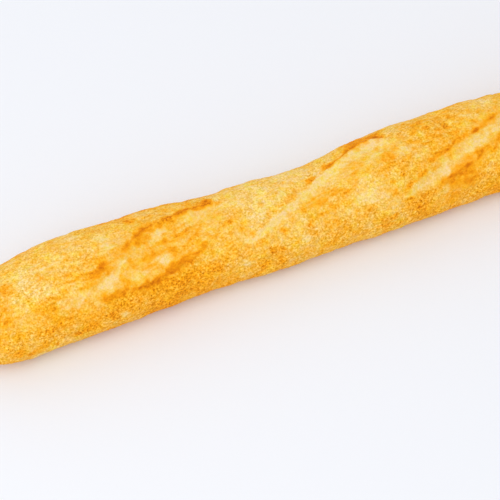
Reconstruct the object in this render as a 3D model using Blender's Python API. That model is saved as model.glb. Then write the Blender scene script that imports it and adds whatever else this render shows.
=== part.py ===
"""A baguette: one loaf of bread that lies on its flat underside.

The loaf is one closed loft along X. Each section is a domed crown over a flatter belly, cut off by the
flat underside, and no two sections are alike: the loaf swells and narrows along its length, wanders a
little from side to side, and rounds off into two blunt tips that lift clear of the table. Four slanted
cuts cross the crown. Each one has opened in the oven into a leaf-shaped bloom, with a raised ear of
crust along its back edge and a shallow groove along its front edge.

The frame: X along the loaf, +Y its back, +Z up, and the origin under its middle, on the table.
"""

import math

import bmesh
import bpy
import numpy as np

MM = 0.001

# Driving dimensions
LENGTH = 560 * MM
BODY_RINGS = 78
TIP_RINGS = 14
CRUST_POINTS = 37
BASE_POINTS = 3

# Sections: station along X, half width, height, shift towards the back (all in millimetres)
SECTIONS = (
    (-280, 28.5, 42.0, -8.2),
    (-262, 29.2, 42.9, -4.9),
    (-245, 29.1, 42.3, -2.0),
    (-215, 30.0, 44.0, 0.4),
    (-185, 29.5, 43.4, 0.1),
    (-155, 28.6, 42.0, 0.8),
    (-121, 27.5, 40.5, -0.7),
    (-104, 27.4, 40.3, -1.5),
    (-72, 26.4, 38.8, -1.8),
    (-45, 28.0, 41.1, -0.6),
    (-20, 29.7, 43.7, 0.6),
    (5, 29.3, 43.0, 1.1),
    (46, 29.4, 43.2, 1.3),
    (75, 28.2, 41.8, -0.6),
    (110, 29.4, 43.2, 0.2),
    (150, 29.8, 43.6, 1.0),
    (185, 28.3, 41.9, 0.0),
    (215, 29.6, 43.2, -0.8),
    (245, 29.0, 42.3, 0.4),
    (280, 27.5, 41.0, 3.0),
)
WIDEST_LEVEL = 0.40  # share of the height at which a section is widest
BELLY_DEPTH = 1.12  # depth of the belly's oval under that level, in that level's height
CROWN_POWER = 2.15
BELLY_POWER = 2.6

# Tips: how far from each end the loaf starts to round off, the roundness there, and the underside's rise
TIP_LENGTHS = (48 * MM, 58 * MM)
TIP_POWERS = (2.2, 2.0)
TIP_RISE = 15 * MM

# Cuts: station of the middle (mm), crown angle there (degrees, + to the back), half length, half width (mm)
CUTS = (
    (-165, -19, 52, 15.5),
    (-58, -2, 54, 12.0),
    (46, -12, 56, 11.5),
    (156, -8, 54, 14.0),
)
CUT_SLANT = 0.78  # degrees round the crown for each millimetre along the loaf
CROWN_RADIUS = 29.0  # millimetres, turns an angle on the crown into a distance across it
BLOOM_RISE = 1.1 * MM
GROOVE_DEPTH = 0.9 * MM
GROOVE_REACH = 2.2  # millimetres
EAR_RISE = 1.5 * MM
EAR_REACH = 2.4  # millimetres

CRUST_COLOUR = (0.90, 0.46, 0.10, 1.0)
CRUST_ROUGHNESS = 0.62
SHARP_ANGLE = math.radians(50)


def clear_scene():
    """Removes every object, so that the file can run again."""
    for found in list(bpy.data.objects):
        bpy.data.objects.remove(found, do_unlink=True)


def natural_spline(knots, values):
    """Returns a function: the smoothest curve through (knot, value), straight at its two ends."""
    steps = np.diff(knots)
    slopes = np.diff(values) / steps
    inner = np.diag(2 * (steps[:-1] + steps[1:]))
    inner += np.diag(steps[1:-1], 1) + np.diag(steps[1:-1], -1)
    bends = np.concatenate([[0], np.linalg.solve(inner, 6 * np.diff(slopes)), [0]])

    def curve(at):
        i = np.clip(np.searchsorted(knots, at) - 1, 0, len(steps) - 1)
        step, left, right = steps[i], at - knots[i], knots[i + 1] - at
        cubic = (bends[i] * right**3 + bends[i + 1] * left**3) / (6 * step)
        start = (values[i] / step - bends[i] * step / 6) * right
        end = (values[i + 1] / step - bends[i + 1] * step / 6) * left
        return cubic + start + end

    return curve


SECTION_TABLE = np.array(SECTIONS, float) * MM
HALF_WIDTH = natural_spline(SECTION_TABLE[:, 0], SECTION_TABLE[:, 1])
HEIGHT = natural_spline(SECTION_TABLE[:, 0], SECTION_TABLE[:, 2])
SHIFT = natural_spline(SECTION_TABLE[:, 0], SECTION_TABLE[:, 3])


def fullness(x):
    """How full the loaf is at x: 1 along its body, down to 0 at each tip."""
    end = 0 if x < 0 else 1
    from_tip = LENGTH / 2 - abs(x)
    into_tip = min(max(1 - from_tip / TIP_LENGTHS[end], 0), 1)
    return (1 - into_tip ** TIP_POWERS[end]) ** (1 / TIP_POWERS[end])


def ring_stations():
    """The rings' places along X: evenly spaced on the body, and by equal turns round each tip."""
    left, right = TIP_LENGTHS
    turns = np.linspace(0, math.pi / 2, TIP_RINGS + 2)[1:-1]
    body = np.linspace(left - LENGTH / 2, LENGTH / 2 - right, BODY_RINGS)
    left_tip = left * (1 - np.sin(turns[::-1])) - LENGTH / 2
    right_tip = LENGTH / 2 - right * (1 - np.sin(turns))
    return np.concatenate([left_tip, body, right_tip])


def cut_relief(x, angle):
    """How far the cuts lift or sink the crust at x and at an angle on the crown.

    Across a cut, distance runs from -1 at its front edge to 1 at its back edge. The bloom is a parabola
    between the two, the groove and the ear are bells on the edges, and all fade out at the cut's ends.
    """
    relief = 0.0
    for middle, crown_angle, half_length, half_width in CUTS:
        along = x / MM - middle
        if abs(along) >= half_length:
            continue
        openness = math.sqrt(1 - (along / half_length) ** 2)
        turned = math.degrees(angle) - crown_angle - CUT_SLANT * along
        across = CROWN_RADIUS * math.radians(turned)
        edge = half_width * openness
        bloom = BLOOM_RISE * max(1 - (across / edge) ** 2, 0)
        groove = GROOVE_DEPTH * math.exp(-(((across + edge) / GROOVE_REACH) ** 2))
        ear = EAR_RISE * math.exp(-(((across - edge) / EAR_REACH) ** 2))
        relief += openness * (bloom - groove + ear)
    return relief


def section_radius(angle, half_width, up, belly):
    """Distance from a section's middle to its outline, at an angle from straight up."""
    side, rise = abs(math.sin(angle)), math.cos(angle)
    reach, power = (up, CROWN_POWER) if rise > 0 else (belly, BELLY_POWER)
    return ((side / half_width) ** power + (abs(rise) / reach) ** power) ** (-1 / power)


def section(x):
    """The points of the section at x: over the crust from front to back, then back under the base."""
    full = fullness(x)
    half_width, height = HALF_WIDTH(x) * full, HEIGHT(x) * full
    shift, lift = SHIFT(x), TIP_RISE * (1 - full)
    level = WIDEST_LEVEL * height
    belly = BELLY_DEPTH * level
    base_half = half_width * (1 - BELLY_DEPTH**-BELLY_POWER) ** (1 / BELLY_POWER)
    edge_angle = math.pi - math.atan2(base_half, level)
    points = []
    for angle in np.linspace(-edge_angle, edge_angle, CRUST_POINTS):
        radius = section_radius(angle, half_width, height - level, belly)
        if abs(angle) < math.pi / 2:
            radius += full * cut_relief(x, angle)
        rise = level + radius * math.cos(angle)
        points.append((x, shift + radius * math.sin(angle), lift + max(rise, 0)))
    points[0] = (x, shift - base_half, lift)
    points[-1] = (x, shift + base_half, lift)
    for share in np.linspace(1, -1, BASE_POINTS + 2)[1:-1]:
        points.append((x, shift + share * base_half, lift))
    return points


def add_loft(bm, rings, tips):
    """Joins each ring of points to the next one and closes both ends onto their tip points."""
    loops = [[bm.verts.new(point) for point in ring] for ring in rings]
    for first, second in zip(loops, loops[1:]):
        for i in range(len(first)):
            j = (i + 1) % len(first)
            bm.faces.new((first[i], first[j], second[j], second[i]))
    for loop, tip in ((loops[0], tips[0]), (loops[-1], tips[1])):
        point = bm.verts.new(tip)
        for i in range(len(loop)):
            bm.faces.new((loop[i], loop[(i + 1) % len(loop)], point))
    bmesh.ops.recalc_face_normals(bm, faces=bm.faces)


def crust_material():
    """Baked crust: golden, dry, with a faint sheen."""
    material = bpy.data.materials.new("baked crust")
    material.use_nodes = True
    shader = material.node_tree.nodes["Principled BSDF"]
    shader.inputs["Base Color"].default_value = CRUST_COLOUR
    shader.inputs["Roughness"].default_value = CRUST_ROUGHNESS
    shader.inputs["Metallic"].default_value = 0.0
    return material


def build_loaf(collection):
    """Makes the loaf, one closed mesh, and links it to the collection."""
    bm = bmesh.new()
    rings = [section(x) for x in ring_stations()]
    tips = [(x, SHIFT(x), TIP_RISE) for x in (-LENGTH / 2, LENGTH / 2)]
    add_loft(bm, rings, tips)
    mesh = bpy.data.meshes.new("baguette")
    bm.to_mesh(mesh)
    bm.free()
    mesh.materials.append(crust_material())
    mesh.shade_smooth()
    mesh.set_sharp_from_angle(angle=SHARP_ANGLE)
    loaf = bpy.data.objects.new("baguette", mesh)
    collection.objects.link(loaf)
    return loaf


def main():
    clear_scene()
    collection = bpy.data.collections.new("Baguette")
    bpy.context.scene.collection.children.link(collection)
    build_loaf(collection)


main()
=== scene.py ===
"""A baguette's looks: its crust, the blooms and ears of its cuts, its finish and a plain studio.

Every surface is worked out with numpy as a function of two parameters: the station x along the loaf, in
millimetres, and the angle round its section, in degrees, 0 at the crest and positive towards the back.
"""

from __future__ import annotations

import logging
import math
from dataclasses import dataclass, field
from enum import Enum

import bpy
import numpy as np
from mathutils import Matrix, Vector

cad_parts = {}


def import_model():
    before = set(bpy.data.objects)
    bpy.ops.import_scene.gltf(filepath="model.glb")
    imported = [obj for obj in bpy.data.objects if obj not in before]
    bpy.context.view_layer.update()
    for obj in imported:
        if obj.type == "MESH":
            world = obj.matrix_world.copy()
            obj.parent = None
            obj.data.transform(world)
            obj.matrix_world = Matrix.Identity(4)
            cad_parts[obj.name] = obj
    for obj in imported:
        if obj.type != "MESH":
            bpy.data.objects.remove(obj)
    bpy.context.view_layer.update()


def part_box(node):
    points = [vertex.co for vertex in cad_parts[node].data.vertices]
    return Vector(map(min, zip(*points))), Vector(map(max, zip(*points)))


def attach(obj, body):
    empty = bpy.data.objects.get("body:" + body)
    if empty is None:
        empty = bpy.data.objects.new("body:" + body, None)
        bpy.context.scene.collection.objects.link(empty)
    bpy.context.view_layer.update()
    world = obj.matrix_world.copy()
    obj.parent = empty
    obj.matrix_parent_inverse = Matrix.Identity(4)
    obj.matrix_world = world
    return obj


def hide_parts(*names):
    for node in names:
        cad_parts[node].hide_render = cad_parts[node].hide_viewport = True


Array = np.ndarray
Pair = tuple[float, float]
Triple = tuple[float, float, float]
MM = 0.001
NODE = "baguette"
BODY = "root"
CHART_RADIUS = 29.0  # mm, turns an angle on the crown into a distance across it
TINY = 1e-6  # keeps divisions off zero
log = logging.getLogger(NODE)


def smooth_step(low: float, high: float, value: Array) -> Array:
    """Returns 0 below low, 1 above high, and the cubic 3t^2 - 2t^3 between."""
    t = np.clip((value - low) / (high - low), 0.0, 1.0)
    return t * t * (3.0 - 2.0 * t)


def bell(value: Array, reach: float) -> Array:
    """Returns the bell exp(-(value / reach)^2)."""
    return np.exp(-((value / reach) ** 2))


def soft_limit(value: Array, start: float, end: float) -> Array:
    """Returns value up to start, and beyond it start + r (1 - exp(-over / r)), which never passes end."""
    reach = end - start
    return np.minimum(value, start) + reach * (1 - np.exp(-np.maximum(value - start, 0) / reach))


def across(angle: Array) -> Array:
    """Returns how far round the crown an angle in degrees lies, in millimetres from the crest."""
    return CHART_RADIUS * np.radians(angle)


def turned(x: Array, y: Array, turn: float) -> tuple[Array, Array]:
    """Returns how far (x, y) lies along a line turned by an angle in radians, and how far aside of it."""
    return x * math.cos(turn) + y * math.sin(turn), y * math.cos(turn) - x * math.sin(turn)


class Spline:
    """The smoothest curve through points whose knots rise: a natural cubic spline."""

    def __init__(self, points: list[Pair]) -> None:
        """Solves for the second derivative at each knot.

        Args:
            points: (knot, value) pairs in rising order of knot.
        """
        table = np.array(points, float)
        self.knots, self.values = table[:, 0], table[:, 1]
        steps = np.diff(self.knots)
        inner = np.diag(2 * (steps[:-1] + steps[1:]))
        inner += np.diag(steps[1:-1], 1) + np.diag(steps[1:-1], -1)
        turns = 6 * np.diff(np.diff(self.values) / steps)
        self.bends = np.concatenate([[0.0], np.linalg.solve(inner, turns), [0.0]])

    def __call__(self, at: Array) -> Array:
        """Works out the curve's values: a cubic between each two knots.

        Args:
            at: places along the knots' axis.

        Returns:
            One value for each place.
        """
        i = np.clip(np.searchsorted(self.knots, at) - 1, 0, len(self.knots) - 2)
        step = self.knots[i + 1] - self.knots[i]
        left, right = at - self.knots[i], self.knots[i + 1] - at
        cubic = (self.bends[i] * right**3 + self.bends[i + 1] * left**3) / (6 * step)
        start = (self.values[i] / step - self.bends[i] * step / 6) * right
        end = (self.values[i + 1] / step - self.bends[i + 1] * step / 6) * left
        return cubic + start + end


@dataclass(frozen=True)
class Octave:
    """One size of unevenness: its strength, its grain in millimetres and its place in the noise."""

    strength: float
    size: float | Triple
    offset: float = 0.0


@dataclass(frozen=True)
class Noise:
    """Smooth gradient noise in space with a spread of 1 about 0, the same on every run with its seed."""

    seed: int
    PRIMES = np.array([73856093, 19349663, 83492791], np.int64)
    GAIN = 5.2

    def _pull(self, cell: Array, offset: Array) -> Array:
        """Works out a lattice corner's slope, hashed from its place, times the distance from it.

        Args:
            cell: the corner's whole-number coordinates.
            offset: each point's place from the corner.

        Returns:
            The corner's pull on each point.
        """
        mixed = (cell * self.PRIMES).sum(-1) + self.seed * 2654435761
        mixed = (mixed ^ (mixed >> 15)) * 2246822519 & 0xFFFFFFFF
        mixed = (mixed ^ (mixed >> 13)) * 3266489917 & 0xFFFFFFFF
        mixed ^= mixed >> 16
        slope = np.stack([mixed & 1023, (mixed >> 10) & 1023, (mixed >> 20) & 1023], -1)
        return ((slope / 511.5 - 1.0) * offset).sum(-1)

    def __call__(self, points: Array, size: float | Triple) -> Array:
        """Blends the pulls of the eight corners round each point.

        Args:
            points: places in millimetres, with x, y, z on the last axis.
            size: the noise's grain in millimetres, one for all or each axis.

        Returns:
            One value for each point.
        """
        scaled = points / np.array(size, float)
        cell = np.floor(scaled).astype(np.int64)
        inside = scaled - cell
        fade = inside**3 * (inside * (inside * 6 - 15) + 10)
        total = np.zeros(points.shape[:-1])
        for corner in np.ndindex(2, 2, 2):
            step = np.array(corner)
            share = np.where(step == 1, fade, 1 - fade).prod(-1)
            total += share * self._pull(cell + step, inside - step)
        return self.GAIN * total

    def mix(self, points: Array, *octaves: Octave) -> Array:
        """Returns the sum of octaves of this noise at the points."""
        return sum(octave.strength * self(points + octave.offset, octave.size) for octave in octaves)


LUMPS, GRAIN, STRETCH, BLOTCH = (Noise(seed) for seed in (11, 23, 37, 51))


@dataclass(frozen=True)
class Band:
    """A soft band along a line: its height, its middle's distance from the line and its reach, in mm."""

    height: float
    middle: float
    reach: float

    def at(self, distance: Array) -> Array:
        """Returns the band's height at distances from its line: a bell about its middle."""
        return self.height * bell(distance - self.middle, self.reach)


# Cross-sections: station along the loaf, half width, height and shift to the back, in millimetres
SECTIONS = (
    (-280, 28.5, 42.0, -8.2), (-262, 29.2, 42.9, -4.9), (-245, 29.1, 42.3, -2.0), (-215, 30.0, 44.0, 0.4),
    (-185, 29.5, 43.4, 0.1), (-155, 28.6, 42.0, 0.8), (-121, 27.5, 40.5, -0.7), (-104, 27.4, 40.3, -1.5),
    (-72, 26.4, 38.8, -1.8), (-45, 28.0, 41.1, -0.6), (-20, 29.7, 43.7, 0.6), (5, 29.3, 43.0, 1.1),
    (46, 29.4, 43.2, 1.3), (75, 28.2, 41.8, -0.6), (110, 29.4, 43.2, 0.2), (150, 29.8, 43.6, 1.0),
    (185, 28.3, 41.9, 0.0), (215, 29.6, 43.2, -0.8), (245, 29.0, 42.3, 0.4), (280, 27.5, 41.0, 3.0),
)


@dataclass
class LoafForm:
    """The smooth loaf: a dome over a flatter belly, cut off by the flat underside, along a spline.

    A section's outline is two half ovals |side / half width|^p + |rise / reach|^p = 1 that meet at the
    widest level, with one power for the crown and one for the belly.
    """

    half_length: float
    widest_level: float = 0.40
    belly_depth: float = 1.12
    crown_power: float = 2.15
    belly_power: float = 2.6
    tip_lengths: Pair = (48.0, 58.0)
    tip_powers: Pair = (2.2, 2.0)
    tip_rise: float = 15.0

    def __post_init__(self) -> None:
        """Fits a spline to each of the sections' sizes."""
        stations, *sizes = zip(*SECTIONS)
        self.half_width, self.height, self.shift = (Spline(list(zip(stations, size))) for size in sizes)

    def fullness(self, x: Array) -> Array:
        """Works out how full the loaf is: 1 along the body, falling to 0 at each tip as (1 - t^p)^(1/p).

        Args:
            x: stations.

        Returns:
            One share for each station.
        """
        reach, power = (np.where(x < 0, *pair) for pair in (self.tip_lengths, self.tip_powers))
        into = np.clip(1 - (self.half_length - np.abs(x)) / reach, 0.0, 1.0)
        return (1 - into**power) ** (1 / power)

    def edge_angle(self, x: Array) -> Array:
        """Returns the angle, in degrees, at which the belly's oval meets the underside."""
        share = (1 - self.belly_depth**-self.belly_power) ** (1 / self.belly_power)
        return 180 - np.degrees(np.arctan2(share * self.half_width(x), self.widest_level * self.height(x)))

    def point(self, x: Array, angle: Array) -> Array:
        """Returns the smooth loaf's points at stations x and angles, in millimetres.

        Args:
            x: stations along the loaf.
            angle: degrees from the crest, positive towards the back.

        Returns:
            An array with x, y, z on its last axis.
        """
        full = np.maximum(self.fullness(x), TINY)
        width, height = self.half_width(x) * full, self.height(x) * full
        level = self.widest_level * height
        side, rise = np.sin(np.radians(angle)), np.cos(np.radians(angle))
        crown = rise > 0
        reach = np.where(crown, height - level, self.belly_depth * level)
        power = np.where(crown, self.crown_power, self.belly_power)
        spread = (np.abs(side) / width) ** power + (np.abs(rise) / reach) ** power
        radius = spread ** (-1 / power)
        lift = self.tip_rise * (1 - self.fullness(x))
        y = self.shift(x) + radius * side
        z = lift + np.maximum(level + radius * rise, 0.0)
        return np.stack([x + 0 * y, y, z], -1)

    def normal(self, x: Array, angle: Array) -> Array:
        """Works out outward unit normals, from the cross product of two small steps on the surface.

        Args:
            x: stations along the loaf.
            angle: degrees from the crest, positive towards the back.

        Returns:
            An array with x, y, z on its last axis.
        """
        step_x, step_angle = 0.05, 0.1
        inner = np.clip(x, step_x * 2 - self.half_length, self.half_length - step_x * 2)
        along = self.point(inner + step_x, angle) - self.point(inner - step_x, angle)
        turn = self.point(inner, angle + step_angle) - self.point(inner, angle - step_angle)
        out = np.cross(turn, along)
        return out / np.maximum(np.linalg.norm(out, axis=-1, keepdims=True), TINY**2)


class Line:
    """A line drawn on the crust through (station, angle) points, with a strength along it."""

    SAMPLES = 72

    def __init__(self, route: list[Pair], strength: list[Pair]) -> None:
        """Samples the spline through the route.

        Args:
            route: (station, angle) points in rising order of station.
            strength: (station, 0 to 1) points, joined by straight runs.
        """
        self.angle = Spline(route)
        self.start, self.end = route[0][0], route[-1][0]
        self.x = np.linspace(self.start, self.end, self.SAMPLES)
        self.y = across(self.angle(self.x))
        self.strength_x, self.strength_y = np.array(strength, float).T

    def strength(self, x: Array) -> Array:
        """Returns the line's strength at stations x."""
        return np.interp(x, self.strength_x, self.strength_y)

    def distance(self, x: Array, y: Array) -> tuple[Array, Array]:
        """Finds the nearest place on the line to each point of the crown's flat chart.

        Args:
            x: stations.
            y: distances across the crown.

        Returns:
            The distance in millimetres, and the station of the nearest place.
        """
        best = np.full(x.shape, np.inf)
        at = np.zeros(x.shape)
        for i in range(self.SAMPLES - 1):
            run_x, run_y = self.x[i + 1] - self.x[i], self.y[i + 1] - self.y[i]
            share = ((x - self.x[i]) * run_x + (y - self.y[i]) * run_y) / (run_x**2 + run_y**2)
            share = np.clip(share, 0.0, 1.0)
            gap = np.hypot(x - self.x[i] - share * run_x, y - self.y[i] - share * run_y)
            nearer = gap < best
            best = np.where(nearer, gap, best)
            at = np.where(nearer, self.x[i] + share * run_x, at)
        return best, at


@dataclass(frozen=True)
class Reach:
    """How points of the crust lie to a cut: their distances to its lines, in mm, positive in the bloom.

    depth is the smaller distance, the strengths are the lines' own at their nearest places, and drawn
    is each point's place on the crown's flat chart, turned along the ear line.
    """

    ear: Array
    lip: Array
    depth: Array
    ear_strength: Array
    lip_strength: Array
    drawn: Array


@dataclass
class Cut:
    """One cut that has opened: relief and tone of its bloom, lip and ear, from distances to two lines.

    Each line's route is (station, angle) points, and its strength is (station, 0 to 1) points.
    """

    ear_route: list[Pair]
    ear_strength: list[Pair]
    lip_route: list[Pair]
    lip_strength: list[Pair]
    rise: float = 1.2
    paleness: float = 0.03
    swell_power: float = 0.7
    swell_reach: float = 6.0
    ear_rise: float = 1.15
    ear_tail: float = 5.0
    ear_step: float = 0.8
    ear_least: float = 0.35
    undercut: float = 0.7
    undercut_tail: float = 2.2
    groove: Band = Band(-0.55, 0.6, 1.5)
    rim: Band = Band(0.35, -2.6, 2.2)
    ear_brown: Band = Band(0.18, -0.3, 1.9)
    ear_glow: Band = Band(0.08, -1.2, 4.0)
    lip_brown: Band = Band(0.11, -0.7, 1.7)
    lip_glow: Band = Band(0.06, -2.5, 5.0)
    ear_smooth: Band = Band(1.0, -0.8, 3.6)
    lip_smooth: Band = Band(0.9, -1.0, 3.4)
    paling: Pair = (0.5, 4.0)
    streak_reach: float = 2.5
    streak: Octave = Octave(0.05, (9.0, 2.3, 9.0))

    def __post_init__(self) -> None:
        """Makes the two lines of the cut."""
        self.ear = Line(self.ear_route, self.ear_strength)
        self.lip = Line(self.lip_route, self.lip_strength)

    def measure(self, x: Array, angle: Array) -> Reach:
        """Works out how points of the crust lie to the cut's two lines.

        Args:
            x: stations.
            angle: angles in degrees.

        Returns:
            The distances, the strengths and the places along the ear line.
        """
        y = across(angle)
        ear, ear_at = self.ear.distance(x, y)
        lip, lip_at = self.lip.distance(x, y)
        within = (x > self.ear.start) & (x < self.ear.end)
        ear = np.where(within & (angle < self.ear.angle(x)), ear, -ear)
        lip = np.where(within & (angle > self.lip.angle(x)), lip, -lip)
        turn = math.atan2(self.ear.y[-1] - self.ear.y[0], self.ear.end - self.ear.start)
        along, aside = turned(x, y, turn)
        return Reach(ear, lip, np.minimum(ear, lip), self.ear.strength(ear_at), self.lip.strength(lip_at),
                     np.stack([along, aside, 0 * along], -1))

    def relief(self, m: Reach) -> Array:
        """Works out how far the cut lifts the crust.

        The bloom is a rounded swelling between lip and ear. The ear's side of the line stands up and
        falls back to the crust as exp(-d / tail), with a short smooth step down into the bloom.

        Args:
            m: how the points lie to the cut.

        Returns:
            The lift in millimetres.
        """
        share = m.lip / np.maximum(m.lip + m.ear, TINY)
        swell = self.rise * np.clip(4 * share * (1 - share), 0, 1) ** self.swell_power
        outside = self.ear_rise * np.exp(-np.maximum(-m.ear, 0) / self.ear_tail)
        under = -self.undercut * np.exp(-np.maximum(m.ear, 0) / self.undercut_tail)
        blend = smooth_step(-self.ear_step, self.ear_step, m.ear)
        ear = (self.ear_least + (1 - self.ear_least) * m.ear_strength) * m.ear_strength**0.5
        ear *= outside * (1 - blend) + under * blend
        lip = m.lip_strength * (self.groove.at(m.lip) + self.rim.at(m.lip))
        return swell * smooth_step(0.0, self.swell_reach, m.depth) + ear + lip

    def tone(self, m: Reach) -> Array:
        """Works out how the cut changes the crust's baking.

        Its ear and lip are browned, its bloom has its own paleness, and the stretched dough in the
        bloom is noise drawn out along the ear line.

        Args:
            m: how the points lie to the cut.

        Returns:
            The change of baking at each point.
        """
        paler = -self.paleness * smooth_step(*self.paling, m.depth)
        ear = m.ear_strength * self.ear_brown.at(m.ear) + m.ear_strength**0.5 * self.ear_glow.at(m.ear)
        lip = m.lip_strength * (self.lip_brown.at(m.lip) + self.lip_glow.at(m.lip))
        streaks = smooth_step(0.0, self.streak_reach, m.depth) * STRETCH.mix(m.drawn, self.streak)
        return paler + ear + lip + streaks

    def smoothness(self, m: Reach) -> Array:
        """Returns how much of the crust's grain the stretched skin along the ear and the lip lacks."""
        return m.ear_strength * self.ear_smooth.at(m.ear) + m.lip_strength * self.lip_smooth.at(m.lip)


CUTS = (
    Cut(  # the first cut
        ear_route=[(-209, -41), (-202, -31), (-196, -22), (-190, -18), (-183, -12), (-177, -2), (-171, 6.5),
            (-165, 12.5), (-158, 17), (-150, 20.5), (-145, 23), (-140, 25), (-134, 26.5), (-125, 26),
            (-115, 28)],
        ear_strength=[(-208, 0.0), (-202, 0.5), (-196, 0.8), (-190, 0.15), (-184, 0.4), (-178, 0.55),
            (-171, 0.85), (-166, 0.6), (-161, 0.85), (-155, 0.5), (-150, 0.8), (-146, 0.6), (-140, 1.0),
            (-136, 0.4), (-130, 0.45), (-126, 1.0), (-123, 0.4), (-121, 0.0)],
        lip_route=[(-208, -43), (-200, -50), (-190, -52), (-176, -56), (-165, -53), (-155, -48), (-145, -42),
            (-136, -34), (-127, -18), (-120, 5), (-115, 30)],
        lip_strength=[(-208, 0.0), (-199, 0.5), (-188, 0.5), (-178, 0.9), (-170, 1.0), (-158, 1.0),
            (-148, 0.8), (-138, 0.55), (-130, 0.15), (-122, 0.0)],
        rise=1.5,
        paleness=-0.06,
    ),
    Cut(  # the second cut
        ear_route=[(-112, -44), (-100, -29), (-91, -18), (-80, -5), (-72, 3), (-65, 10.5), (-58, 16.5),
            (-52, 21), (-46, 26), (-41, 29.5), (-35, 34.5), (-27, 38.5), (-20, 35), (-15, 29), (-10, 20)],
        ear_strength=[(-104, 0.0), (-93, 0.25), (-86, 0.1), (-80, 0.4), (-74, 0.1), (-66, 0.8), (-60, 0.1),
            (-53, 0.75), (-48, 0.45), (-43, 0.85), (-36, 0.85), (-28, 1.0), (-20, 0.9), (-15, 0.6),
            (-11, 0.0)],
        lip_route=[(-112, -50), (-98, -42), (-84, -33), (-72, -28), (-60, -22), (-45, -14), (-30, -7),
            (-19, 0), (-12, 8), (-10, 24)],
        lip_strength=[(-104, 0.0), (-92, 0.2), (-75, 0.25), (-66, 0.3), (-45, 0.15), (-28, 0.35), (-18, 0.4),
            (-12, 0.2), (-10, 0.0)],
        rise=1.3,
    ),
    Cut(  # the third cut
        ear_route=[(-18, -54), (-8, -44), (2, -33), (12, -25), (23, -19.5), (30, -15.5), (37, -11.5),
            (45, -7), (52, 0), (60, 10), (72, 21), (84, 30), (95, 33)],
        ear_strength=[(-16, 0.0), (-9, 0.35), (-2, 0.3), (5, 0.2), (14, 0.4), (23, 0.7), (29, 0.3),
            (36, 0.7), (44, 0.2), (52, 0.2), (57, 0.8), (64, 0.9), (72, 0.6), (80, 1.0), (88, 0.7),
            (94, 0.0)],
        lip_route=[(-18, -62), (-8, -63), (4, -59), (16, -54), (26, -46), (38, -35), (50, -25), (64, -15),
            (78, -4), (90, 14), (95, 37)],
        lip_strength=[(-16, 0.1), (-6, 0.4), (6, 0.5), (18, 0.9), (26, 0.8), (38, 0.7), (52, 0.6), (66, 0.4),
            (80, 0.2), (90, 0.0)],
        rise=1.2,
        paleness=0.06,
    ),
    Cut(  # the fourth cut
        ear_route=[(92, -46), (104, -33), (116, -21), (128, -9), (140, 3), (152, 13), (164, 22), (176, 29),
            (188, 34), (200, 31), (210, 26)],
        ear_strength=[(94, 0.0), (104, 0.3), (112, 0.6), (120, 0.3), (130, 0.7), (138, 0.9), (146, 0.6),
            (155, 1.0), (165, 0.8), (174, 1.0), (184, 0.9), (194, 0.7), (204, 0.3), (209, 0.0)],
        lip_route=[(92, -53), (104, -56), (118, -55), (132, -49), (146, -41), (160, -33), (174, -23),
            (188, -11), (200, 4), (210, 26)],
        lip_strength=[(94, 0.0), (106, 0.5), (120, 0.8), (134, 0.9), (150, 0.8), (166, 0.5), (182, 0.3),
            (198, 0.1), (208, 0.0)],
        rise=1.4,
    ),
)


class Stored(str, Enum):
    """The values kept at each point of the crust for its finish to read."""

    BAKING = "baking"
    GRAIN = "grain"
    HUE = "hue"


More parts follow.
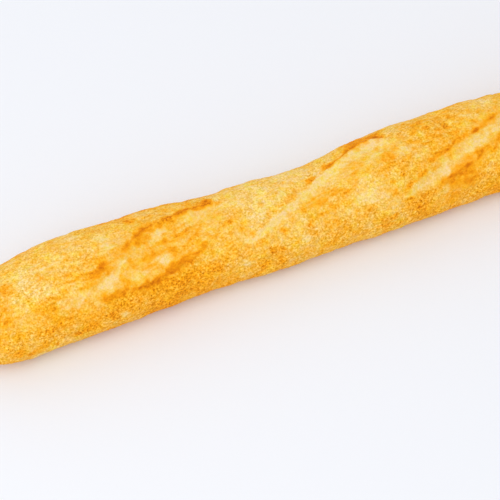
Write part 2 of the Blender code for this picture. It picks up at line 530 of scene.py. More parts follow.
# Patches that baked paler (negative) or darker (positive) than the crust round them, listed: station
# (mm), angle (degrees), length and width (mm), slant from the axis (degrees), change of baking (hundredths)
PATCHES = (
    # the first cut's bloom: cream where the dough opened last
    (-196.5, -43, 15, 13, 15, -34), (-197, -44, 11.5, 10.5, 10, -18), (-190, -31, 10, 6, 35, -26),
    (-184, -24, 13, 3.5, 30, -26), (-179, -40, 14, 5, -8, -26), (-176, -47, 17, 3, -6, -26),
    (-160, -1, 15, 5, 42, -40), (-161, -36, 7, 8, 75, -40), (-175, -7, 6, 2.5, -45, -24),
    (-152, -20, 6, 3, 20, -20), (-134, 12, 20, 9, 18, -12), (-120, 18, 7, 5, 10, -26),
    (-143, -16, 10, 3, 30, -10), (-168, -27, 9, 8, 40, 18), (-171, -36, 10, 4, 5, 14),
    (-183, -28, 5, 2.5, 60, 18), (-155, -27, 4.5, 6, 80, 30), (-157, -11, 9, 4, 15, 16),
    (-149, -10, 5, 7, 60, 14), (-137, -12, 9, 5, 25, 10), (-146, -26, 9, 4, 30, 10),
    # the first cut's ear, from its left end
    (-203, -27, 8, 4, 30, 22), (-198, -22, 9, 4.5, 48, 22), (-195.5, -19, 8, 7, 60, 21),
    (-181, -8, 6, 5, 40, 24), (-173, 3.5, 18, 11, 32, 26), (-169, 9, 9, 4.5, 35, 26),
    (-177, 1, 4, 3, 40, 20), (-163, 13, 8, 4.5, 25, 26), (-154, 18, 12, 5.5, 18, 26),
    (-150.5, 20.5, 4, 4, 40, 28), (-145, 23.5, 6, 4.5, 25, 24), (-140.5, 26, 9.5, 6.5, 25, 46),
    (-133, 25.5, 3, 5, 60, 34), (-130, 25, 8, 4.5, 10, 20), (-126, 30, 9, 8, 80, 54),
    (-125.5, 34, 4, 5, 60, 28),
    # the first cut's front lip
    (-195, -55, 15, 4.5, 2, 26), (-200, -55, 4, 5, 60, 22), (-175, -56, 16, 4, 2, 34),
    (-177, -57, 7, 2, -5, 24), (-164, -52, 14, 4, 12, 30), (-158, -47.5, 12, 4.5, 18, 30),
    (-149, -44, 15, 4.5, 24, 28), (-140, -37, 11, 3.5, 36, 20), (-148, -50.5, 3, 2, 30, 45),
    # the leaf tail and the crown before the first cut
    (-216, -49, 14, 4.5, 12, -28), (-209, -44, 11, 5, 15, -22), (-190.5, 18, 4.5, 7, 80, -30),
    (-188, 3, 5.5, 8, 80, -24), (-244, 15, 8, 2.4, -48, -30), (-253, -32, 9, 2.2, -28, -18),
    (-203, -62, 6, 2.6, -55, -26), (-224, 5, 17, 2.2, 2, -20), (-211, 9, 10, 2.6, 0, -22),
    (-210, -4, 10, 2.2, -22, -20), (-207, 17, 4.5, 4, 0, -22), (-201, 27, 7, 2.4, -42, -22),
    (-191, -84, 8, 3.5, -50, -24), (-241.5, -3, 15, 4, 84, -14), (-172, 25, 12, 4, 5, -22),
    (-217.5, 6, 10, 1.4, 80, -18), (-240, -60, 11, 2.6, -38, -14), (-227, -93, 3.5, 7, 90, -18),
    (-231, 17, 9, 2.4, -10, -14), (-196, -5, 8, 2.4, 12, -18), (-232, -28, 14, 3, -12, -12),
    (-251, 4, 8, 13, 90, 20), (-245, 22, 4, 5, 40, 16), (-214, -25, 10, 3.2, -12, 22),
    (-219, -33, 4.5, 6, 60, 14), (-210, -37, 12, 2.2, -4, 22), (-226, -38, 11, 4.5, -5, 16),
    (-218, 46, 11, 4, 0, 16), (-171, 35, 4, 6, 90, 30), (-234, -68, 5.5, 4.5, 10, 36),
    (-227, -67, 4.5, 5, 60, 20), (-253, -88, 8, 7.5, 0, 30), (-247, -93, 5, 3.4, 20, 40),
    (-240, -88, 13, 4.5, 4, 20), (-232, -93, 4.5, 3, 0, 40), (-219, -92, 5.5, 3.4, 0, 40),
    (-212, -87, 15, 6, 0, 18), (-197, -83, 10, 4, -50, 28), (-206, -75, 14, 6, -20, 14),
    (-226, 10, 6, 2.6, -10, 16), (-222, 0, 5, 2.6, 0, 20), (-195, 10, 4, 5, 70, 16),
    (-204, 5, 2.5, 2, 0, 26), (-199, -5, 2.5, 2, 0, 20), (-231, -9, 5, 2.2, 30, 16),
    # the crown between the first two cuts
    (-113, 14, 7, 3, 10, -20), (-112, -15, 9, 3, 12, -14), (-117, -32, 6, 6, 0, -20),
    (-96, -7, 13, 4, 28, -22), (-85, 7, 9, 5, 12, -20), (-80, 20, 9, 5, 8, -18), (-63, 33, 8, 4.5, 0, -20),
    (-117, -73, 9, 5, -30, -24), (-80, -62, 5, 7, 80, -24), (-99, 18, 4, 4, 0, -14),
    (-88, -90, 8, 4, -20, -14), (-119, -92, 7, 3, 0, -14), (-132, -24, 4, 4, 60, 24),
    (-119, -13, 3.4, 3, 60, 28), (-123, -11, 6, 4, 20, 12), (-98.5, 0, 2.4, 3, 60, 32),
    (-109, -37, 3, 3, 50, 22), (-92, -13, 13, 2.6, 24, 16), (-91, -46, 5.5, 4.5, 20, 26),
    (-103, -48, 9, 3, 8, 18), (-112, -50, 10, 3.4, 0, 14), (-96, -82, 6, 5, -40, 20),
    (-97, -65, 9, 5, -10, 18), (-84, -61, 4.5, 3, 10, 24), (-105, -83, 7, 4.5, 15, 18),
    (-75, -47, 2.6, 2.4, 0, 50), (-102, -60.5, 2.4, 2, 0, 34), (-96, 42, 9, 4, 4, 14),
    (-104, 38, 5, 4, 30, 12),
    # the second cut: its pale streak, its ear and the bloom under them
    (-104, -39, 22, 4.5, 20, -30), (-93, -28, 15, 4, 30, -32), (-83, -18, 15, 4.5, 32, -36),
    (-73, -7, 15, 5.5, 32, -40), (-66, -1, 9, 4.5, 30, -28), (-59, 8, 13, 6.5, 28, -36),
    (-50, 14, 17, 7, 20, -22), (-40, 20, 17, 8, 14, -24), (-29, 26, 18, 7, 8, -32),
    (-19, 26, 10, 7, -10, -26), (-12.5, 16, 5, 8, 80, -20), (-80, 0, 4.5, 5.5, 60, 30),
    (-65.5, 13.5, 7, 5, 38, 52), (-52, 24.5, 6, 6.5, 45, 46), (-51, 26, 4, 3, 30, 24),
    (-46, 27.5, 6, 3, 20, 34), (-41.5, 31.5, 5, 4.5, 35, 36), (-37, 36, 8, 5, 20, 30),
    (-27, 43.5, 25, 14, 0, 58), (-19, 38, 7, 5.5, -35, 38), (-15.5, 32, 3.5, 5, 60, 28),
    (-67, -22, 9, 11, 80, 22), (-76, -20, 8, 7, 30, 12), (-57, -16, 6, 4.5, 20, 14), (-17, 0, 8, 4, 30, 11),
    (-13, 5, 6, 3, 20, 15), (-25, -8, 7, 4, 20, 10), (-17, 12.5, 4, 3, 0, 14), (-52, -22, 9, 5, -20, 14),
    (-38, -2, 8, 4, 10, 6),
    # the crown between the second and third cuts
    (-8, -3, 11, 6, 5, -34), (0, -15, 11, 8, 10, -12), (-38, -44, 17, 8, -10, -28), (-25, -60, 8, 6, 0, -20),
    (-26, -68, 10, 5, -20, -12), (-22, -82, 10, 5, -10, -10), (-13, -46, 8, 3, 18, 28),
    (-5, -40, 11, 2.4, 25, 20), (-24, -50, 5, 5.5, -40, 28), (-16, -62, 2.6, 5, 90, 30),
    (-33, -46, 5, 3.4, 0, 26), (-37, -55.5, 10, 3, 4, 12), (-48, -45, 12, 4, -30, 14),
    (-16, -33, 3, 3, 0, 22), (-22, -38, 3, 2.4, 0, 18), (-11, -77, 6, 4, -15, 18), (-26, -76, 4.5, 4, 0, 24),
    (-31, -89, 5, 9, 90, 20), (-44, -87, 6, 6, 0, 18), (-6, -67, 9, 4, 25, 20), (-30, -66, 6, 3, 0, 14),
    # the third cut
    (-7, -54, 17, 6, 8, -20), (-1, -45, 8, 4, 15, -18), (-15, -56, 4.5, 6, 90, -16), (9, -46, 9, 9, 20, -26),
    (12, -39, 13, 5, 85, -26), (20, -36, 15, 6, 28, -16), (29, -28, 13, 7, 28, -18),
    (38, -22, 17, 8, 26, -32), (48, -13, 14, 8, 30, -28), (60, -2, 16, 7, 30, -30), (72, 8, 14, 7, 30, -28),
    (82, 20, 10, 6, 35, -20), (8, -40, 4, 6, 80, 12), (5, -28, 7, 2.6, 12, 20), (12, -23, 13, 2.4, 15, 24),
    (18, -20, 9, 3, 20, 18), (23, -15.5, 7, 4, 20, 36), (37, -8.5, 6, 3.6, 0, 40), (46, -2, 10, 7, 20, 18),
    (50, 5, 8, 8, 40, 15), (28, -10, 7, 3, 10, 14), (24.5, -48, 6, 3.6, 10, 40), (18, -51, 9, 2.2, 15, 24),
    (33, -38, 11, 2.4, 10, 28), (31.5, -42, 3, 3, 0, 24), (40, -40, 4.5, 5, 30, 32), (34, -50, 6, 6, 0, 18),
    (12, -54.5, 8, 2.4, 10, 22), (17, -61, 22, 9, -14, 20), (4, -59, 8, 2.6, 10, 16),
    (14, -83, 11, 8, 10, 12), (7, -89, 4, 8, 90, 10), (5, -70, 11, 4, 10, -16),
    # the crown behind the third cut
    (10, 20, 6, 4, 0, 32), (2, 19, 7, 4, 10, 16), (4, 35, 6, 9, 80, 18), (15, 13, 7, 3.4, -30, 18),
    (22.5, 12, 7, 3, -25, 28), (27, 27, 4.5, 3.4, 0, 18), (28, 10, 3, 5, 80, 18), (6, -3, 9, 2.2, -30, 18),
    (0, 4, 6, 4, 10, 12), (16, -1, 2.4, 2, 0, 22), (34, 21, 8, 3, -20, -16), (12, 31, 9, 3, 0, -14),
    (20, 3, 10, 3, -5, -10), (43, 26, 8, 5, 0, -12), (-4, 32, 3, 3, 0, 18),
)


# Stretches of smooth skin, listed in the same way, with the grain that they lack instead (hundredths)
SLEEK_PATCHES = (
    (17, -61, 26, 13, -14, 80), (8, -84, 34, 12, 6, 40), (-27, 43, 22, 11, 0, 50), (46, 0, 22, 11, 25, 40),
    (-172, 4, 22, 12, 32, 40), (-196, -54, 16, 7, 2, 40), (-176, -55, 24, 6, 0, 40),
    (-154, -46, 30, 6, 20, 40), (-250, 4, 12, 14, 90, 30), (-205, -75, 22, 9, -20, 20),
    (-248, -92, 22, 10, 0, 30), (-67, -22, 12, 12, 80, 30),
)


@dataclass
class Patchwork:
    """Soft-edged patches on the crust: those listed, and more scattered over the rest.

    least and growth are the length and width, in mm, of the smallest patch and how much the largest
    adds. slant is the mean and spread in degrees, and changes the range of the change's share.
    """

    placed: tuple[tuple[float, ...], ...] = PATCHES
    hand_zone: tuple[float, float, float, float] = (-262.0, 52.0, -100.0, 50.0)
    scattered: int = 420
    seed: int = 8
    reach: float = 276.0
    turn: float = 125.0
    least: Pair = (4.0, 2.4)
    growth: Pair = (14.0, 5.0)
    pale_growth: float = 4.0
    slant: Pair = (4.0, 22.0)
    change: float = 0.26
    changes: Pair = (0.4, 1.2)
    core: float = 0.45
    rim: float = 1.4

    def __post_init__(self) -> None:
        """Draws the scattered patches, leaves those in the listed patches' zone out and joins the rest on.

        Half of them are pale, and small ones are the more common.
        """
        draw = np.random.default_rng(self.seed)
        count = self.scattered
        size = draw.uniform(0, 1, count) ** 2
        pale = draw.uniform(0, 1, count) < 0.5
        drawn = np.stack([
            draw.uniform(-self.reach, self.reach, count),
            draw.uniform(-self.turn, self.turn, count),
            self.least[0] + self.growth[0] * size + self.pale_growth * pale,
            self.least[1] + self.growth[1] * size,
            draw.normal(*self.slant, count),
            np.where(pale, -self.change, self.change) * draw.uniform(*self.changes, count),
        ], 1)
        low, high, front, back = self.hand_zone
        taken = (drawn[:, 0] > low) & (drawn[:, 0] < high) & (drawn[:, 1] > front) & (drawn[:, 1] < back)
        placed = np.array(self.placed, float)
        placed[:, -1] /= 100
        self.patches = np.concatenate([placed, drawn[~taken]])

    def __call__(self, x: Array, angle: Array, bends: list[Array]) -> Array:
        """Adds the patches up.

        A patch is full inside its core, a share of its oval, and gone at its rim, a little outside it.

        Args:
            x: stations.
            angle: angles in degrees.
            bends: how far each point reads the patches along and across the loaf, for uneven edges.

        Returns:
            The change of baking at each point.
        """
        total = np.zeros(x.shape)
        for at_x, at_angle, length, width, slant, change in self.patches:
            rows = np.abs(x[:, 0] - at_x) < length + width
            run_x = x[rows] + bends[0][rows] - at_x
            run_y = across(angle[rows] - at_angle) + bends[1][rows]
            along, aside = turned(run_x, run_y, math.radians(slant))
            spread = np.hypot(2 * along / length, 2 * aside / width)
            total[rows] += change * (1 - smooth_step(self.core, self.rim, spread))
        return total


@dataclass(frozen=True)
class Grid:
    """The crust's points: stations, angles in degrees, places on the smooth loaf and each cut's reach."""

    x: Array
    angle: Array
    smooth: Array
    reaches: list[Reach]


@dataclass
class CrustLook:
    """How the loaf baked: its tones, patches and grain, as the values that the crust's finish reads.

    A zone says where it begins and is full: angles from the crest, or a share of the loaf's fullness.
    """

    form: LoafForm
    cuts: tuple[Cut, ...]
    patches: Patchwork = field(default_factory=Patchwork)
    sleek: Patchwork = field(default_factory=lambda: Patchwork(SLEEK_PATCHES, scattered=60, seed=5))
    crown_baking: tuple[Pair, ...] = (
        (-280, 0.55), (-255, 0.42), (-232, 0.36), (-190, 0.41), (-160, 0.42), (-130, 0.40), (-105, 0.31),
        (-60, 0.33), (-20, 0.35), (20, 0.50), (70, 0.38), (120, 0.42), (170, 0.38), (220, 0.36), (280, 0.55),
    )
    side_baking: tuple[Pair, ...] = (
        (-280, 0.60), (-245, 0.48), (-215, 0.52), (-160, 0.68), (-125, 0.56), (-80, 0.47), (-30, 0.48),
        (10, 0.50), (60, 0.58), (110, 0.50), (160, 0.62), (210, 0.52), (280, 0.60),
    )
    base_baking: float = 0.70
    # painted light: paler near the table on both sides, standing in for the floor's bounce light, and paler
    # on the crown's back half
    painted_bounce_light: float = 0.02
    painted_back_light: float = 0.08
    darkest: Pair = (0.68, 0.98)
    front_zone: Pair = (46.0, 68.0)
    back_zone: Pair = (42.0, 75.0)
    bounce_light_zone: Pair = (84.0, 97.0)
    back_light_zone: Pair = (-14.0, 6.0)
    base_zone: Pair = (114.0, 134.0)
    body_zone: Pair = (0.4, 0.9)
    clouds: tuple[Octave, ...] = (Octave(0.045, 24.0), Octave(0.050, 11.0, 57.0))
    blotches: tuple[Octave, ...] = (Octave(0.055, 5.5, 11.0), Octave(0.055, 2.9, 29.0))
    side_blotch_loss: float = 0.3
    streaks: Octave = Octave(0.05, (9.0, 2.2, 9.0))
    streak_bend: Octave = Octave(2.4, 15.0, 83.0)
    side_streak_loss: float = 0.7
    base_blotches: Octave = Octave(0.06, 8.0)
    edge_bends: tuple[Octave, ...] = (Octave(0.7, 4.0, 31.0), Octave(0.6, 4.0, 73.0))
    pale_blotches: Octave = Octave(0.3, 3.4, 61.0)
    pale_limit: float = 0.45
    crown_grain: float = 0.60
    side_grain: float = 0.35
    base_grain: float = 0.9
    least_grain: float = 0.1
    grain_blotches: Octave = Octave(0.12, 17.0)
    bloom_reach: float = 3.0
    bloom_loss: float = 0.35
    pale_loss: float = 1.3
    cut_loss: float = 0.5
    lemon: float = 0.35
    hues: tuple[Octave, ...] = (Octave(0.4, 4.5, 43.0), Octave(0.3, 10.0, 19.0))
    peach_share: float = 0.5
    pale_hue: float = 0.2

    def __post_init__(self) -> None:
        """Fits a spline to the crown's baking and to the sides'."""
        self.crown_tone, self.side_tone = Spline(self.crown_baking), Spline(self.side_baking)

    def body(self, x: Array) -> Array:
        """Returns 1 along the body and 0 at the tips, which have no back or underside of their own."""
        return smooth_step(*self.body_zone, self.form.fullness(x))

    def tone(self, grid: Grid, side: Array) -> Array:
        """Works out the baking of the crown, the sides and the cuts, without patches.

        Args:
            grid: the crust's points.
            side: 0 on the crown, 1 on the sides.

        Returns:
            The crown's and the sides' own tones, with painted light that makes them paler towards the
            table and on the crown's back half, with clouds, blotches and streaks along the loaf, and what the
            cuts add.
        """
        x, angle, smooth = grid.x, grid.angle, grid.smooth
        baking = self.crown_tone(x) * (1 - side) + self.side_tone(x) * side
        # painted bounce light: paler towards the table on both sides
        baking -= self.painted_bounce_light * smooth_step(*self.bounce_light_zone, np.abs(angle))
        # painted light: the crown's back half paler
        baking -= self.painted_back_light * smooth_step(*self.back_light_zone, angle) * (1 - side) * self.body(x)
        baking += BLOTCH.mix(smooth, *self.clouds)
        baking += (1 - self.side_blotch_loss * side) * BLOTCH.mix(smooth, *self.blotches)
        chart = np.stack([x, across(angle) + BLOTCH.mix(smooth, self.streak_bend), 0 * x], -1)
        baking += STRETCH.mix(chart, self.streaks) * (1 - self.side_streak_loss * side)
        return baking + sum(cut.tone(reach) for cut, reach in zip(self.cuts, grid.reaches))

    def coarseness(self, grid: Grid, side: Array, patches: Array) -> Array:
        """Works out how coarse the grain is, before the stretches of smooth skin.

        Args:
            grid: the crust's points.
            side: 0 on the crown, 1 on the sides.
            patches: the patches' change of baking.

        Returns:
            More on the sides, and less in the blooms, on pale patches and along the cuts' edges.
        """
        bloom = sum(smooth_step(0.0, self.bloom_reach, reach.depth) for reach in grid.reaches)
        grain = self.crown_grain + self.side_grain * side - self.bloom_loss * bloom
        grain += BLOTCH.mix(grid.smooth, self.grain_blotches) - self.pale_loss * np.maximum(-patches, 0)
        return grain - self.cut_loss * sum(cut.smoothness(m) for cut, m in zip(self.cuts, grid.reaches))

    def values(self, grid: Grid) -> dict[Stored, Array]:
        """Works out the values that the crust's finish reads.

        Args:
            grid: the crust's points.

        Returns:
            baking: how dark, from 0 for cream to 1 for dark brown, with painted light that makes it paler
                near the table and on the crown's back half; grain: how coarse, from 0 to 1; hue: from -1,
                towards peach, to 1, towards lemon.
            hue: from -1, towards peach, to 1, towards lemon.
        """
        x, angle = grid.x, grid.angle
        front, back = smooth_step(*self.front_zone, -angle), smooth_step(*self.back_zone, angle)
        side = np.where(angle < 0, front, back)
        bends = [BLOTCH.mix(grid.smooth, bend) for bend in self.edge_bends]
        patches = self.patches(x, angle, bends)
        uneven = BLOTCH.mix(grid.smooth, self.pale_blotches).clip(-self.pale_limit, self.pale_limit)
        patches *= 1 + uneven * (patches < 0)
        baking = self.tone(grid, side) + patches
        baking += (self.base_baking - baking) * smooth_step(*self.base_zone, np.abs(angle)) * self.body(x)
        grain = self.coarseness(grid, side, patches) - self.sleek(x, angle, bends)
        drift = BLOTCH.mix(grid.smooth, *self.hues)
        hue = self.lemon + np.where(drift > 0, drift, self.peach_share * drift)
        return {Stored.BAKING: soft_limit(baking, *self.darkest),
                Stored.GRAIN: grain.clip(self.least_grain, 1.0),
                Stored.HUE: hue + self.pale_hue * np.minimum(patches, 0)}

    def under(self, base: Array) -> dict[Stored, Array | float]:
        """Returns the same values for points of the underside: plain browned crust."""
        baking = self.base_baking + BLOTCH.mix(base, self.base_blotches)
        return {Stored.BAKING: baking, Stored.GRAIN: self.base_grain, Stored.HUE: 0.0}


@dataclass
class Crust:
    """The loaf's whole skin: one closed mesh, finely gridded, with its relief and its look."""

    form: LoafForm
    cuts: tuple[Cut, ...] = CUTS
    rows: int = 610
    top_columns: int = 109
    side_columns: int = 19
    base_columns: int = 11
    profile_steps: int = 20001
    top_angle: float = 78.0
    ear_pull: float = 0.62
    ear_pull_reach: float = 13.0
    ear_run_in: Pair = (-12.0, 6.0)
    ear_run_out: Pair = (-6.0, 12.0)
    lumps: tuple[Octave, ...] = (Octave(0.30, 34.0), Octave(0.20, 13.0, 91.0), Octave(0.11, 6.0, 17.0))
    wrinkles: Octave = Octave(0.09, (11.0, 2.6, 2.6))
    grain: Octave = Octave(0.06, 2.3)

    def stations(self) -> Array:
        """Returns the rows' places, by equal steps along the loaf's profile from tip to tip."""
        turn = np.linspace(-np.pi / 2, np.pi / 2, self.profile_steps)
        x = self.form.half_length * np.sin(turn)
        radius = self.form.half_width(x) * self.form.fullness(x)
        walked = np.concatenate([[0.0], np.cumsum(np.hypot(np.diff(x), np.diff(radius)))])
        wanted = np.linspace(0.0, walked[-1], self.rows + 2)[1:-1]
        return np.interp(wanted, walked, x)

    def angles(self, x: Array) -> Array:
        """Works out each row's angles, from the front edge over the crest to the back edge.

        Each cut's ear pulls the columns near it towards itself, so that its edge is finely gridded.

        Args:
            x: the rows' stations.

        Returns:
            Angles in degrees, one row for each station.
        """
        top = np.linspace(-self.top_angle, self.top_angle, self.top_columns)
        shares = np.linspace(0.0, 1.0, self.side_columns + 1)[:-1]
        edge = self.form.edge_angle(x)[:, None]
        front = -edge + shares * (edge - self.top_angle)
        back = edge - shares[::-1] * (edge - self.top_angle)
        angles = np.concatenate([front, np.broadcast_to(top, (len(x), len(top))), back], 1)
        pulled = angles.copy()
        for cut in self.cuts:
            gap = cut.ear.angle(np.clip(x, cut.ear.start, cut.ear.end))[:, None] - angles
            near = smooth_step(*self.ear_run_in, x - cut.ear.start)
            near *= 1 - smooth_step(*self.ear_run_out, x - cut.ear.end)
            pulled += self.ear_pull * near[:, None] * gap * bell(gap, self.ear_pull_reach)
        return pulled

    def relief(self, grid: Grid) -> Array:
        """Works out the crust's height over the smooth loaf.

        Args:
            grid: the crust's points.

        Returns:
            The sum of lumps of several sizes, wrinkles along the loaf, the cuts' relief and fine grain,
            in millimetres.
        """
        rough = LUMPS.mix(grid.smooth, *self.lumps) + STRETCH.mix(grid.smooth, self.wrinkles)
        cuts = sum(cut.relief(reach) for cut, reach in zip(self.cuts, grid.reaches))
        return self.form.fullness(grid.x) * (rough + cuts) + GRAIN.mix(grid.smooth, self.grain)

    def build(self) -> bpy.types.Object:
        """Makes the crust's mesh with its look stored at each point.

        Returns:
            The mesh's object.
        """
        rows = self.stations()
        angles = self.angles(rows)
        x = np.broadcast_to(rows[:, None], angles.shape)
        grid = Grid(x, angles, self.form.point(x, angles), [cut.measure(x, angles) for cut in self.cuts])
        crust = grid.smooth + self.form.normal(x, angles) * self.relief(grid)[..., None]
        lift = self.form.tip_rise * (1 - self.form.fullness(rows))
        crust[..., 2] = np.maximum(crust[..., 2], lift[:, None])
        shares = np.linspace(0.0, 1.0, self.base_columns + 2)[1:-1]
        base = crust[:, -1:] + shares[:, None] * (crust[:, :1] - crust[:, -1:])
        look = CrustLook(self.form, self.cuts)
        flat, under = look.body(rows)[:, None], look.under(base)
        values = {}
        for key, value in look.values(grid).items():
            edge = value[:, -1:] + shares * (value[:, :1] - value[:, -1:])
            values[key] = np.concatenate([value, edge + flat * (under[key] - edge)], 1)
        half = self.form.half_length
        tips = np.array([[end, self.form.shift(np.array(end)), self.form.tip_rise] for end in (-half, half)])
        return closed_loft("crust", np.concatenate([crust, base], 1), tips, values)


def add_object(name: str, data: bpy.types.ID) -> bpy.types.Object:
    """Makes an object of a mesh, a lamp or a camera, and links it to the scene.

    Args:
        name: the object's name.
        data: what it shows.

    Returns:
        The object.
    """
    made = bpy.data.objects.new(name, data)
    bpy.context.scene.collection.objects.link(made)
    return made


def closed_loft(name: str, rings: Array, tips: Array, values: dict[Stored, Array]) -> bpy.types.Object:
    """Makes a closed mesh from rings of points, each joined to the next, with a fan to each tip point.

    Args:
        name: the object's name.
        rings: points in millimetres, shaped (rings, points round, 3), turning one way round X.
        tips: the two end points in millimetres.
        values: named values for each ring point, which the tips take from the ring next to them.

    Returns:
        The object, at the origin, linked to the scene.
    """
    count, around = rings.shape[:2]
    index = np.arange(count * around).reshape(count, around)
    after = np.roll(index, -1, axis=1)
    quads = np.stack([index[:-1], after[:-1], after[1:], index[1:]], -1).reshape(-1, 4)
    first, last = count * around, count * around + 1
    start = np.stack([after[0], index[0], np.full(around, first)], -1)
    end = np.stack([index[-1], after[-1], np.full(around, last)], -1)
    mesh = bpy.data.meshes.new(name)
    points = np.concatenate([rings.reshape(-1, 3), tips]) * MM
    mesh.from_pydata(points.tolist(), [], quads.tolist() + start.tolist() + end.tolist())
    for key, value in values.items():
        ends = [value[0].mean(), value[-1].mean()]
        stored = mesh.attributes.new(key.value, "FLOAT", "POINT")
        stored.data.foreach_set("value", np.concatenate([value.ravel(), ends]).astype(np.float32))
    mesh.validate()
    mesh.shade_smooth()
    return add_object(name, mesh)


Socket = bpy.types.NodeSocket
NodeOutputs = bpy.types.bpy_prop_collection


@dataclass
class Nodes:
    """Adds nodes to a shader tree and joins them up."""

    tree: bpy.types.NodeTree

    def feed(self, node: bpy.types.Node, inputs: dict[str | int, object]) -> None:
        """Gives a node its inputs.

        Args:
            node: the node.
            inputs: sockets to link or values to set, by the input's name or number.
        """
        for key, value in inputs.items():
            if isinstance(value, Socket):
                self.tree.links.new(value, node.inputs[key])
            else:
                node.inputs[key].default_value = value

    def add(self, kind: str, inputs: dict[str | int, object], **settings: object) -> NodeOutputs:
        """Adds one node.

        Args:
            kind: the node's type, without its ShaderNode.
            inputs: what to feed it.
            settings: its own properties.

        Returns:
            The node's outputs.
        """
        node = self.tree.nodes.new("ShaderNode" + kind)
        for key, value in settings.items():
            setattr(node, key, value)
        self.feed(node, inputs)
        return node.outputs

    def math(self, operation: str, *values: Socket | float) -> Socket:
        """Returns the result of one sum on numbers or sockets."""
        return self.add("Math", dict(enumerate(values)), operation=operation)[0]

    def swing(self, value: Socket, gain: float, middle: float = 0.5) -> Socket:
        """Returns gain times how far value lies above its middle."""
        return self.math("MULTIPLY", self.math("SUBTRACT", value, middle), gain)

    def step(self, value: Socket, start: float, full: float) -> Socket:
        """Returns a smooth step from 0 at start to 1 at full, which may lie below start."""
        inputs = {"Value": value, "From Min": start, "From Max": full}
        return self.add("MapRange", inputs, interpolation_type="SMOOTHSTEP")["Result"]

    def cells(self, place: Socket, size: float, feature: str = "F1") -> NodeOutputs:
        """Returns the outputs of Voronoi cells of a size in millimetres."""
        return self.add("TexVoronoi", {"Vector": place, "Scale": 1000 / size}, feature=feature)

    def noise(self, place: Socket, size: float) -> Socket:
        """Returns noise of a grain size in millimetres, about 0.5 on average."""
        return self.add("TexNoise", {"Vector": place, "Scale": 1000 / size, "Detail": 1.0})["Fac"]


@dataclass(frozen=True)
class Speckle:
    """One part of the fine grain: its size in mm, and how much of it goes into what the finish reads:
    its baking, its painted shade, its flour and its height.
    """

    size: float
    baking: float = 0.0
    # painted shade: a factor on the colour's brightness, darker or lighter in place of the grain's own
    # shading
    shade: float = 0.0
    flour: float = 0.0
    height: float = 0.0


@dataclass(frozen=True)
class GrainFinish:
    """The crust's fine grain, with the edges of its crumbs and pits as shares of their cells."""

    # shade in these is painted shade: darker in the crumbs' low borders and in the pits, lighter where the
    # dust is raised
    crumbs: Speckle = Speckle(1.35, baking=-0.10, shade=0.20, height=0.6)
    pits: Speckle = Speckle(1.9, baking=0.22, shade=-0.18, flour=-0.30, height=-0.6)
    dust_and_painted_light: Speckle = Speckle(1.0, baking=-0.60, shade=0.60, flour=0.8, height=0.9)
    mottle: Speckle = Speckle(2.2, baking=0.36)
    flour: Speckle = Speckle(1.7, flour=1.3)
    least: float = 0.25
    dome_edge: Pair = (0.62, 0.15)
    dome_middle: float = 0.45
    pit_edge: Pair = (0.30, 0.12)
    pit_choice: Pair = (0.45, 0.80)

    def build(self, n: Nodes, place: Socket, grain: Socket) -> list[Socket]:
        """Adds the grain's nodes: domed crumbs, pits between them and a little dust, with painted shade.

        A crumb is a cell about a millimetre wide. Its middle is pale and high, and its border is low and
        dark, partly from its colour and partly from painted shade. Pits are small dark dots on some of the
        cells of a wider pattern, browner and with painted shade. The dust is pale flecks, and paints light
        on the places that it raises. Flour is a fine unevenness of its own.

        Args:
            n: the material's nodes.
            place: the place on the crust.
            grain: how coarse the crust is there.

        Returns:
            What the grain makes of the baking, the painted shade, the flour and the height.
        """
        dome = n.step(n.cells(place, self.crumbs.size, "SMOOTH_F1")["Distance"], *self.dome_edge)
        dust_and_painted_light = n.noise(place, self.dust_and_painted_light.size)
        wide = n.cells(place, self.pits.size)
        chosen = n.step(wide["Color"], *self.pit_choice)
        pits = n.math("MULTIPLY", n.step(wide["Distance"], *self.pit_edge), chosen)
        pits = n.math("MULTIPLY", pits, n.step(grain, self.least, 1.0))
        coarse = n.math("ADD", grain, self.least)
        mottle = n.swing(n.noise(place, self.mottle.size), self.mottle.baking)
        baking = n.math("ADD", n.swing(dome, self.crumbs.baking), n.swing(dust_and_painted_light, self.dust_and_painted_light.baking))
        baking = n.math("MULTIPLY_ADD", baking, coarse, mottle)
        # painted shade and light: the crumbs' borders darker, the dust's raised places lighter
        shade = n.swing(dome, self.crumbs.shade, self.dome_middle)
        shade = n.math("MULTIPLY_ADD", n.math("ADD", shade, n.swing(dust_and_painted_light, self.dust_and_painted_light.shade)), coarse, 1.0)
        flour = n.swing(n.noise(place, self.flour.size), self.flour.flour)
        flour = n.math("ADD", flour, n.swing(dust_and_painted_light, self.dust_and_painted_light.flour))
        height = n.math("MULTIPLY_ADD", dome, self.crumbs.height, n.math("MULTIPLY", dust_and_painted_light, self.dust_and_painted_light.height))
        # the pits add browner colour and painted shade
        gains = (self.pits.baking, self.pits.shade, self.pits.flour, self.pits.height)
        sums = zip(gains, (baking, shade, flour, height))
        return [n.math("MULTIPLY_ADD", pits, gain, value) for gain, value in sums]


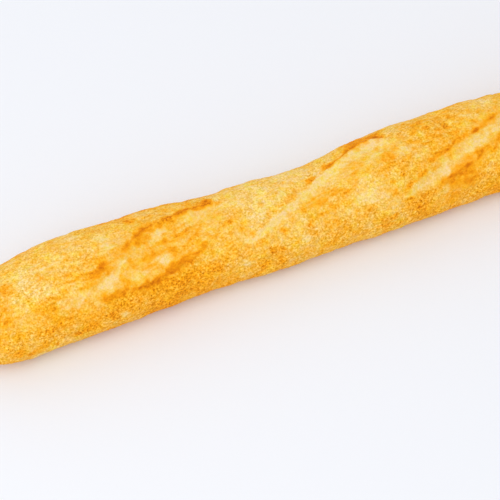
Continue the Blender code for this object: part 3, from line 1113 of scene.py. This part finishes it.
@dataclass(frozen=True)
class CrustFinish:
    """The baked crust's finish: its colours from pale cream to dark brown, and its fine grain."""

    grain: GrainFinish = GrainFinish()
    stops: tuple[tuple[float, Triple], ...] = (
        (0.00, (0.895, 0.628, 0.232)),
        (0.20, (0.902, 0.562, 0.138)),
        (0.42, (0.906, 0.477, 0.065)),
        (0.58, (0.932, 0.408, 0.021)),
        (0.72, (0.896, 0.338, 0.007)),
        (0.86, (0.784, 0.246, 0.003)),
        (1.00, (0.600, 0.155, 0.002)),
    )
    green_turn: float = 0.045
    blue_turn: float = -0.22
    roughness: float = 0.7
    specular: float = 0.06
    bump_depth: float = 0.00022

    def colour(self, n: Nodes, baking: Socket, hue: Socket, shade: Socket, flour: Socket) -> Socket:
        """Adds the colour of bread baked to a degree: a ramp of stops, turned a little by the hue.

        A hue of 1 raises green by a twentieth and lowers blue by a fifth, and -1 does the opposite.

        Args:
            n: the material's nodes.
            baking: where on the ramp the crust lies.
            hue: how far it turns towards lemon.
            shade: painted shade and light of the grain, which sets how bright the colour is.
            flour: what blue alone gains, which makes the crust paler without lighting it up.

        Returns:
            The colour.
        """
        ramp = n.tree.nodes.new("ShaderNodeValToRGB")
        n.feed(ramp, {"Fac": baking})
        elements = ramp.color_ramp.elements
        while len(elements) < len(self.stops):
            elements.new(0.5)
        for element, (at, colour) in zip(elements, self.stops):
            element.position, element.color = at, (*colour, 1.0)
        parts = n.add("SeparateColor", {"Color": ramp.outputs["Color"]})
        # the painted shade scales red, green and blue alike
        green = n.math("MULTIPLY_ADD", hue, self.green_turn, shade)
        blue = n.math("MULTIPLY_ADD", hue, self.blue_turn, n.math("ADD", shade, flour))
        gains = {"Red": shade, "Green": green, "Blue": blue}
        scaled = {key: n.math("MULTIPLY", parts[key], gain) for key, gain in gains.items()}
        return n.add("CombineColor", scaled)["Color"]

    def material(self) -> bpy.types.Material:
        """Makes the crust's material.

        Returns:
            The material, which reads the stored values and Object coordinates.
        """
        material = bpy.data.materials.new("baked crust")
        material.use_nodes = True
        n = Nodes(material.node_tree)
        baking, grain, hue = (n.add("Attribute", {}, attribute_name=key.value)["Fac"] for key in Stored)
        place = n.add("TexCoord", {})["Object"]
        # shade is the grain's painted shade and light
        more, shade, flour, height = self.grain.build(n, place, grain)
        bump = n.add("Bump", {"Height": height, "Strength": 1.0, "Distance": self.bump_depth})
        n.feed(material.node_tree.nodes["Principled BSDF"], {
            "Base Color": self.colour(n, n.math("ADD", baking, more), hue, shade, flour),
            "Roughness": self.roughness,
            "Specular IOR Level": self.specular,
            "Normal": bump["Normal"],
        })
        return material


@dataclass(frozen=True)
class Lamp:
    """A square soft lamp: its place and side in metres, its power in watts, and where it points."""

    name: str
    place: Triple
    side: float
    power: float
    aim: Triple = (-0.1, 0.0, 0.0)

    def build(self) -> None:
        """Adds the lamp to the scene, turned towards its aim."""
        data = bpy.data.lights.new(self.name, "AREA")
        data.size, data.energy = self.side, self.power
        lamp = add_object(self.name, data)
        lamp.location = self.place
        lamp.rotation_euler = (Vector(self.aim) - Vector(self.place)).to_track_quat("-Z", "Y").to_euler()


@dataclass
class Studio:
    """A pale plain floor, soft light from all round and above, and the camera."""

    aim: Triple = (-0.10674, -0.00658, 0.00519)
    turn: float = 22.6
    elevation: float = 56.0
    distance: float = 1.097
    view_width: float = 15.0
    sensor: float = 36.0
    sky: Triple = (0.955, 0.955, 0.985)
    sky_strength: float = 0.84
    floor_colour: Triple = (0.842, 0.860, 0.888)
    floor_half: float = 8.0
    floor_roughness: float = 0.9
    floor_specular: float = 0.1
    lamps: tuple[Lamp, ...] = (
        Lamp("key", (-0.6, -0.4, 1.5), 1.5, 5.95),
        Lamp("fill", (-1.2, -0.5, 0.8), 1.0, 3.1),
        Lamp("front", (0.5, -1.1, 0.5), 0.9, 0.8),
        Lamp("back", (0.1, 1.0, 0.9), 1.0, 1.0),
    )

    def build_camera(self) -> None:
        """Places the camera: it looks down at the loaf from its front left."""
        turn, elevation = math.radians(self.turn), math.radians(self.elevation)
        look = Vector((math.sin(turn) * math.cos(elevation), math.cos(turn) * math.cos(elevation),
                       -math.sin(elevation)))
        right = Vector((math.cos(turn), -math.sin(turn), 0.0))
        up = right.cross(look)
        data = bpy.data.cameras.new("camera")
        data.sensor_width = self.sensor
        data.lens = self.sensor / 2 / math.tan(math.radians(self.view_width / 2))
        camera = add_object("camera", data)
        camera.matrix_world = Matrix.Translation(Vector(self.aim) - look * self.distance) @ Matrix(
            (right, up, -look)).transposed().to_4x4()
        bpy.context.scene.camera = camera

    def build_floor(self) -> None:
        """Makes the floor, wide enough to fill every view down onto it."""
        mesh = bpy.data.meshes.new("floor")
        half = self.floor_half
        corners = [(-half, -half, 0), (half, -half, 0), (half, half, 0), (-half, half, 0)]
        mesh.from_pydata(corners, [], [(0, 1, 2, 3)])
        mesh.materials.append(bpy.data.materials.new("pale floor"))
        mesh.materials[0].use_nodes = True
        tree = mesh.materials[0].node_tree
        looks = {"Base Color": (*self.floor_colour, 1.0), "Roughness": self.floor_roughness,
                 "Specular IOR Level": self.floor_specular}
        Nodes(tree).feed(tree.nodes["Principled BSDF"], looks)
        floor = add_object("floor", mesh)

    def build_light(self) -> None:
        """Lights the scene: a pale sky all round and the soft lamps."""
        scene = bpy.context.scene
        scene.world = bpy.data.worlds.new("studio")
        scene.world.use_nodes = True
        tree = scene.world.node_tree
        Nodes(tree).feed(tree.nodes["Background"], {"Color": (*self.sky, 1.0), "Strength": self.sky_strength})
        for lamp in self.lamps:
            lamp.build()
        scene.view_settings.view_transform = "Standard"

    def build(self) -> None:
        """Makes the whole studio."""
        self.build_camera()
        self.build_floor()
        self.build_light()


def main() -> None:
    """Builds the loaf round the frame, then the studio."""
    logging.basicConfig(level=logging.INFO, format="%(name)s: %(message)s")
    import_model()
    low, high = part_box(NODE)
    piece = Crust(LoafForm(half_length=(high[0] - low[0]) / 2 / MM)).build()
    piece.data.materials.append(CrustFinish().material())
    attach(piece, BODY)
    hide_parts(NODE)
    log.info("crust: %d faces", len(piece.data.polygons))
    Studio().build()


if __name__ == "__main__":
    main()
